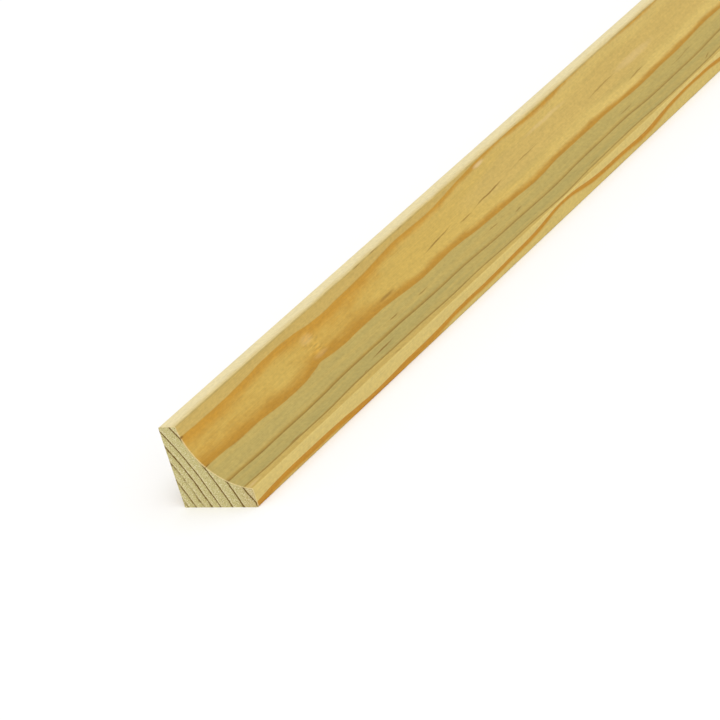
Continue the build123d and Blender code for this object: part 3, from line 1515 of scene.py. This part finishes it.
    def log_places(self, piece: bpy.types.Object) -> tuple[np.ndarray, np.ndarray, np.ndarray]:
        """Where the vertices lie in the log: along, out from the back and up, in millimetres."""
        places = Bench.points(piece)
        return (
            (places[:, 0] - self.low.x) / MM,
            (self.high.y - places[:, 1]) / MM,
            (places[:, 2] - self.low.z) / MM,
        )

    def sink(
        self, piece: bpy.types.Object, name: str, weights: np.ndarray, depth: float, way: str
    ) -> None:
        """Moves vertices into the wood by a weighted depth.

        Args:
            piece: The strip.
            name: A name for the group of vertices.
            weights: A share of the depth for each vertex, from 0 to 1.
            depth: The full depth, below 0 along the way that is given.
            way: NORMAL, or X for the sawn ends.
        """
        group = piece.vertex_groups.new(name=name)
        for index in np.flatnonzero(weights > 0.001):
            group.add([int(index)], float(weights[index]), "REPLACE")
        push = piece.modifiers.new(name, "DISPLACE")
        push.direction = way
        push.strength = depth
        push.mid_level = 0.0
        push.vertex_group = name
        Bench.apply(piece, push)
        piece.vertex_groups.remove(piece.vertex_groups[name])

    def raise_grain(self, piece: bpy.types.Object) -> None:
        """Lets the hard late wood stand a hair above the soft early wood on the long faces.

        Args:
            piece: The divided strip.
        """
        along, out, up = self.log_places(piece)
        soft = 1 - self.pattern.latewood(self.pattern.radius(along, out, up))
        drift = self.cutter_drift * np.sin(along / self.drift_pitch)
        ripple = 0.5 + 0.5 * np.sin(2 * math.pi * along / self.cutter_pitch + drift)
        weights = self.soft_share * soft + (1 - self.soft_share) * ripple
        ends = (along < AT_END) | (along > self.length / MM - AT_END)
        weights[ends] = 0
        self.sink(piece, "planed relief", weights, -self.planed_relief, "NORMAL")

    def saw_ends(self, piece: bpy.types.Object) -> None:
        """Leaves saw marks, torn early wood and small chips on the two ends.

        Args:
            piece: The divided strip.
        """
        rng = np.random.default_rng(self.seed)
        for end in End:
            along, out, up = self.log_places(piece)
            plane = 0.0 if end is End.NEAR else self.length / MM
            here = np.abs(along - plane) < AT_END
            soft = 1 - self.pattern.latewood(self.pattern.radius(along, out, up))
            stroke = 2 * math.pi * (self.saw_way[0] * out + self.saw_way[1] * up) / self.saw_pitch
            saw = 0.5 + 0.5 * np.sin(stroke + rng.uniform(0, 6))
            torn = rng.uniform(0, 1, len(along)) ** 2
            of_soft, of_saw, of_torn = self.sawn_shares
            weights = np.where(here, of_soft * soft + of_saw * saw + of_torn * torn, 0)
            self.sink(piece, "sawn relief", weights, -end.value * self.sawn_relief, "X")

    def build(self) -> bpy.types.Object:
        """Makes the whole strip.

        Returns:
            The finished piece.
        """
        piece = self.blank()
        self.plough(piece)
        self.ease(piece)
        self.divide_across(piece)
        self.score_along(piece)
        self.score_ends(piece)
        self.divide_along(piece)
        self.lay_out(piece)
        self.raise_grain(piece)
        self.saw_ends(piece)
        Bench.only(piece)
        bpy.ops.object.shade_smooth_by_angle(angle=math.radians(self.smooth_angle))
        triangles = sum(len(face.vertices) - 2 for face in piece.data.polygons)
        log.info("strip has %d vertices and %d triangles", len(piece.data.vertices), triangles)
        return piece

    def girth_places(self, piece: bpy.types.Object) -> np.ndarray:
        """How far round the section each vertex lies, as a share of the whole girth.

        Args:
            piece: The divided strip.

        Returns:
            Shares from 0 up to 1, starting on the underside near the back.
        """
        places = Bench.points(piece)
        inner = np.array([self.high.y, self.low.z]) + np.array([-1, 1]) * self.section.top_land * 1.1
        angle = np.arctan2(places[:, 2] - inner[1], places[:, 1] - inner[0])
        angle = (-angle - math.pi / 4) % (2 * math.pi)
        ring = np.abs(places[:, 0] - (self.low.x + self.length / self.strips)) < TOUCH
        order = np.argsort(angle[ring])
        around = places[ring][order][:, 1:]
        closed = np.vstack([around, around[:1]])
        run = np.concatenate([[0], np.cumsum(np.hypot(*np.diff(closed, axis=0).T))])
        known = np.append(angle[ring][order], angle[ring][order][0] + 2 * math.pi)
        first = known[0]
        turned = np.where(angle < first - 100 * TOUCH, angle + 2 * math.pi, angle)
        return np.interp(turned, known, run) / run[-1] % 1.0

    def lay_out(self, piece: bpy.types.Object) -> None:
        """Lays the surface out flat for a colour map, as four bands and two small squares.

        Args:
            piece: The divided strip.
        """
        mesh = piece.data
        layer = mesh.uv_layers.new(name="OFBake")
        places = Bench.points(piece)
        girth = self.girth_places(piece)
        band = self.length / self.strips
        flat = np.empty((len(mesh.loops), 2))
        for face in mesh.polygons:
            loops = list(face.loop_indices)
            points = places[list(face.vertices)]
            middle = points.mean(0)
            if abs(face.normal.x) > MOSTLY_END:
                side = float(middle[0] > 0)
                u = (points[:, 1] - self.low.y) / (self.high.y - self.low.y)
                u = u if side else 1 - u
                v = (points[:, 2] - self.low.z) / (self.high.z - self.low.z)
                left = self.map_gap + side * (self.end_patch + self.map_gap)
                bottom = self.strips * (self.map_band + self.map_gap) + self.map_gap
                flat[loops, 0] = left + u * self.end_patch
                flat[loops, 1] = bottom + v * self.end_patch
                continue
            which = min(int((middle[0] - self.low.x) / band), self.strips - 1)
            share = girth[list(face.vertices)]
            if np.ptp(share) > 0.5:
                share = np.where(share < 0.5, share + 1, share)
            run = (points[:, 0] - self.low.x - which * band) / band
            flat[loops, 0] = self.map_gap + run * (1 - 2 * self.map_gap)
            flat[loops, 1] = self.map_gap + which * (self.map_band + self.map_gap) + share * self.map_band
        layer.data.foreach_set("uv", flat.ravel())

    def dress(
        self, piece: bpy.types.Object, long_grain: bpy.types.Material, end_grain: bpy.types.Material
    ) -> None:
        """Gives the long faces and the sawn ends their materials.

        Args:
            piece: The strip.
            long_grain: The material of the long faces.
            end_grain: The material of the ends.
        """
        piece.data.materials.append(long_grain)
        piece.data.materials.append(end_grain)
        faces = np.abs(self._normals(piece)[:, 0]) > MOSTLY_END
        piece.data.polygons.foreach_set("material_index", faces.astype(np.int32))


@dataclass(frozen=True)
class Sun:
    """One soft sun.

    Attributes:
        name: Its name.
        power: Its strength.
        spread: The angle that it fills, in degrees, which softens its shadows.
        way: The direction that its light takes.
    """

    name: str
    power: float
    spread: float
    way: tuple[float, float, float]


@dataclass(frozen=True)
class Studio:
    """A pale floor, soft light and the camera.

    Attributes:
        corner: The near end's bottom back corner, which the camera is placed from.
        camera_from_corner: The camera's place from that corner.
        camera_right: The direction to its right.
        camera_up: The direction up from it, which is rolled.
        lens: Its focal length, in millimetres.
        sky_light: The sky's strength as it lights the strip.
        sky_seen: Its strength behind the floor.
        suns: The suns.
        floor_size: The floor's width.
        floor_tone: How pale the floor is.
    """

    corner: Vector
    camera_from_corner: tuple[float, float, float] = (-539.31 * MM, -472.26 * MM, 299.94 * MM)
    camera_right: tuple[float, float, float] = (0.498608, -0.819684, -0.281972)
    camera_up: tuple[float, float, float] = (0.461686, -0.024190, 0.886714)
    lens: float = 201.724
    sky_light: float = 0.76
    sky_seen: float = 1.0
    suns: tuple[Sun, ...] = (
        Sun("key", 1.0, 40, (0.35, 0.35, -1.0)),
        Sun("fill", 0.4, 60, (1.0, 0.6, -0.5)),
    )
    floor_size: float = 400.0
    floor_tone: float = 0.95

    def floor(self) -> None:
        """Lays the floor."""
        bpy.ops.object.select_all(action="DESELECT")
        bpy.ops.mesh.primitive_plane_add(size=self.floor_size, location=(0, 0, 0))
        floor = bpy.context.object
        floor.name = "floor"
        material = bpy.data.materials.new("floor_pale")
        material.use_nodes = True
        shader = next(n for n in material.node_tree.nodes if n.type == "BSDF_PRINCIPLED")
        shader.inputs["Base Color"].default_value = (*(self.floor_tone,) * 3, 1)
        shader.inputs["Roughness"].default_value = 0.9
        shader.inputs["Specular IOR Level"].default_value = 0.1
        floor.data.materials.append(material)

    def light(self) -> None:
        """Sets the sky and two soft suns."""
        world = bpy.data.worlds.new("studio")
        bpy.context.scene.world = world
        world.use_nodes = True
        g = Graph(world.node_tree)
        sky = next(n for n in world.node_tree.nodes if n.type == "BACKGROUND")
        sky.inputs["Color"].default_value = (1, 1, 1, 1)
        seen = g.node("ShaderNodeLightPath").outputs["Is Camera Ray"]
        more = self.sky_seen - self.sky_light
        g.put(sky.inputs["Strength"], g.sum(MathOp.MULTIPLY_ADD, seen, more, self.sky_light))
        for sun in self.suns:
            bpy.ops.object.light_add(type="SUN", location=(0, 0, 2))
            lamp = bpy.context.object
            lamp.name = sun.name
            lamp.data.energy = sun.power
            lamp.data.angle = math.radians(sun.spread)
            lamp.rotation_mode = "QUATERNION"
            lamp.rotation_quaternion = Vector(sun.way).to_track_quat("-Z", "Y")

    def camera(self) -> None:
        """Sets up the camera, rolled as in the photograph."""
        right = Vector(self.camera_right).normalized()
        up = Vector(self.camera_up)
        up = (up - right * up.dot(right)).normalized()
        back = right.cross(up)
        bpy.ops.object.camera_add()
        camera = bpy.context.object
        camera.name = "camera"
        turn = Matrix((right, up, back)).transposed().to_4x4()
        camera.matrix_world = Matrix.Translation(self.corner + Vector(self.camera_from_corner)) @ turn
        camera.data.sensor_width = 36
        camera.data.lens = self.lens
        camera.data.clip_start = 0.05
        camera.data.clip_end = 500
        camera.data.dof.use_dof = False
        bpy.context.scene.camera = camera


def main() -> None:
    """Builds the strip and the studio round it."""
    logging.basicConfig(level=logging.INFO, format="%(name)s: %(message)s")
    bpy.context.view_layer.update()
    low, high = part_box(NODE)
    section = Section(width=high.y - low.y, height=high.z - low.z)
    pattern = LogPattern()
    strip = MouldingStrip(low, high, section, pattern)
    piece = strip.build()
    effects = WoodEffects.build(pattern)
    long_grain = LongGrainFinish(low.x, strip.length, section, effects).material()
    end_grain = EndGrainFinish(low.x, strip.length, section, effects).material()
    strip.dress(piece, long_grain, end_grain)
    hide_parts(NODE)
    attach(piece, "root")
    studio = Studio(corner=Vector((low.x, high.y, low.z)))
    studio.floor()
    studio.light()
    studio.camera()
    bpy.context.scene.view_settings.view_transform = "Standard"


if __name__ == "__main__":
    main()
